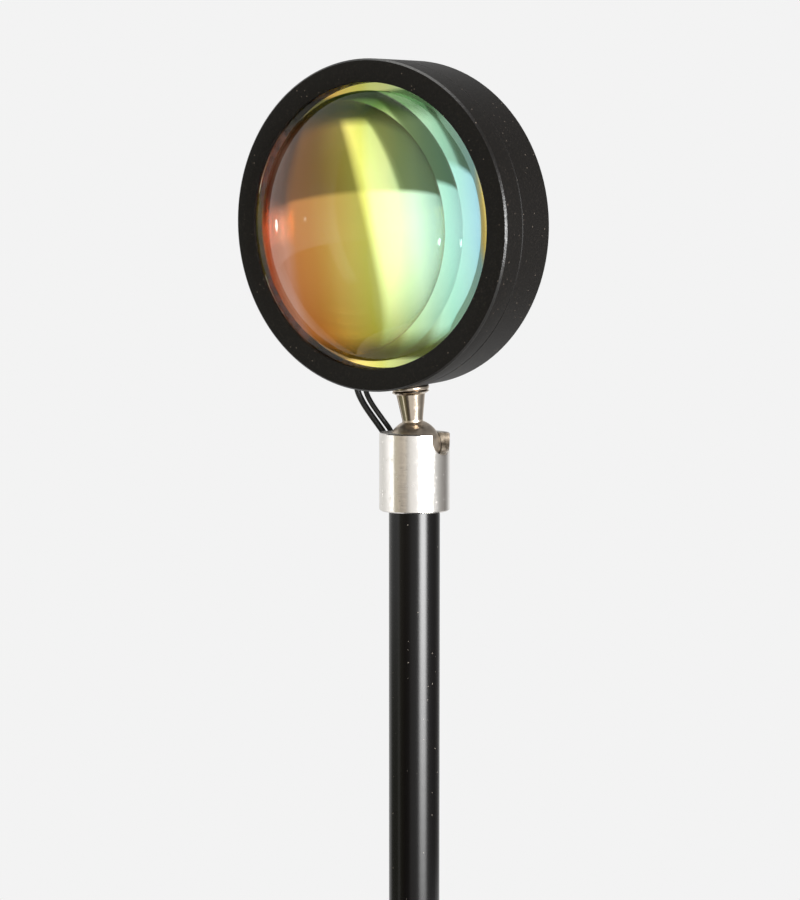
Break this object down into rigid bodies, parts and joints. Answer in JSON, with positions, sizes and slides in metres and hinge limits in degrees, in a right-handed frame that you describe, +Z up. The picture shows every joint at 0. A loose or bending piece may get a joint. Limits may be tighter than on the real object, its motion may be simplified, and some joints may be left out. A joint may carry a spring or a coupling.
{
  "type": "projection lamp",
  "caption": "Table lamp that throws a disc of sunset-coloured light, with a round head and domed lens on a ball joint, straight pole and weighted base",
  "frame": {"origin": "under the middle of the base, on the surface it stands on; the free lead, its switch and plug are not counted", "axes": "+Z up along the pole, the head faces -Y, the collar's notch opens to +X, the free lead leaves the base to +Y"},
  "size_m": [0.1, 0.2109, 0.2699],
  "materials": {
    "black_powder": "sand-textured black powder coat on aluminium",
    "black_enamel": "satin-gloss black enamel",
    "clear_glass": "polished clear",
    "colour_glass": "dichroic coating, orange to green to pale blue",
    "polished_aluminium": "turned and polished",
    "nickel": "bright nickel plate",
    "plated_steel": "zinc plate",
    "brass": "turned",
    "cast_iron": "cast",
    "foam": "closed-cell foam",
    "black_rubber": "moulded",
    "black_vinyl": "glossy vinyl jacket",
    "black_plastic": "fine moulded texture",
    "grey_plastic": "satin",
    "white_plastic": "satin",
    "white_board": "solder mask on an aluminium core",
    "green_board": "solder mask",
    "dark_parts": "moulded",
    "emitter": "phosphor under clear resin",
    "clear_plastic": "clear moulded optic"
  },
  "bodies": {
    "stand": {"pole": "black_enamel", "pole_stud": "plated_steel", "pole_washer": "plated_steel", "pole_nut": "plated_steel", "base_cover": "black_enamel", "base_weight": "cast_iron", "base_pad": "foam", "base_gland": "black_rubber", "pole_wire": "black_vinyl", "lead_to_switch": "black_vinyl", "lead_to_coil": "black_vinyl", "lead_coil": "black_vinyl", "lead_tail": "black_vinyl", "switch_base": "black_plastic", "switch_cover": "black_plastic", "switch_core": "grey_plastic", "plug_grip": "black_plastic", "plug_shell": "plated_steel", "plug_tongue": "white_plastic"},
    "collar": {"collar": "polished_aluminium", "ball_seat": "white_plastic", "seat_spacer": "brass", "collar_wire": "black_vinyl"},
    "swivel": {"ball_stud": "nickel", "head_wires": "black_vinyl"},
    "head": {"rear_cup": "black_powder", "bezel_ring": "black_powder", "lens": "clear_glass", "colour_filter": "colour_glass", "filter_gasket": "foam", "light_cup": "white_plastic", "led_board": "white_board", "led_chip": "emitter", "led_optic": "clear_plastic", "led_screws": "plated_steel", "driver_board": "green_board", "driver_parts": "dark_parts", "head_grommet": "black_rubber", "stem_washer": "nickel", "stem_nut": "plated_steel"},
    "button": {"switch_button": "grey_plastic"}
  },
  "joints": [
    {"name": "collar_turn", "type": "hinge", "parent": "stand", "child": "collar", "pos_m": [0, 0, 0.181], "axis": [0, 0, 1], "range_deg": [-180, 180]},
    {"name": "ball_tilt", "type": "hinge", "parent": "collar", "child": "swivel", "pos_m": [0, 0, 0.181], "axis": [0, 1, 0], "range_deg": [-31, 82], "deforming": ["head_wires"]},
    {"name": "head_spin", "type": "hinge", "parent": "swivel", "child": "head", "pos_m": [0, 0, 0.181], "axis": [-0.0464, -0.061, 0.9971], "range_deg": [-90, 90]},
    {"name": "switch_press", "type": "slide", "parent": "stand", "child": "button", "axis": [0, 0, -1], "range_m": [0, 0.001], "stiffness_N_per_m": 400, "springref_m": -0.0008}
  ]
}
